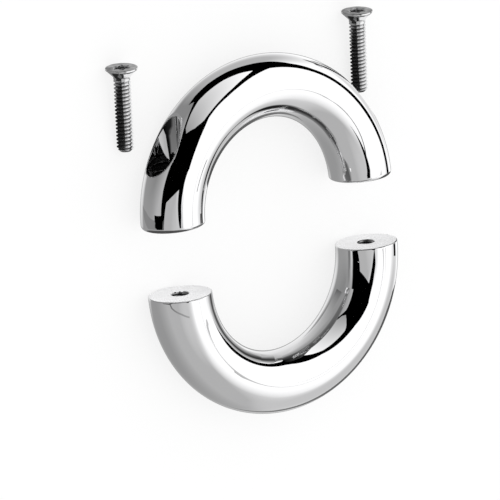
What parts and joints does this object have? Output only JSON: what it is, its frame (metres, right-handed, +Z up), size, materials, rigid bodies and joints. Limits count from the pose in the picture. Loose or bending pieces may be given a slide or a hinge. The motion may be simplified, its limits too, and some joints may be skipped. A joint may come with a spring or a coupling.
{
  "type": "segment ring, body jewellery, shown taken apart",
  "caption": "Heavy round-bar ring split across its middle, an arch with countersunk screw recesses and a tapped lower half, lying apart with its screws.",
  "frame": {"origin": "on the surface the pieces lie on, under the middle of the whole layout", "axes": "+X across the ring, +Y up the screw axes from the lower half to the arch, +Z up off the surface, along the ring's own axis"},
  "size_m": [0.0304, 0.0361, 0.006],
  "materials": {
    "ring_steel": "mirror-polished surgical steel, bare and not plated, satin on the cut faces",
    "screw_steel": "turned and thread-rolled stainless steel, darker than the ring"
  },
  "bodies": {
    "lower": {"lower_half": "ring_steel", "screw_left": "screw_steel", "screw_right": "screw_steel"},
    "arch": {"upper_half": "ring_steel"}
  },
  "joints": [
    {"name": "arch_closes", "type": "slide", "parent": "lower", "child": "arch", "axis": [0, -1, 0], "range_m": [0, 0.00648]}
  ]
}
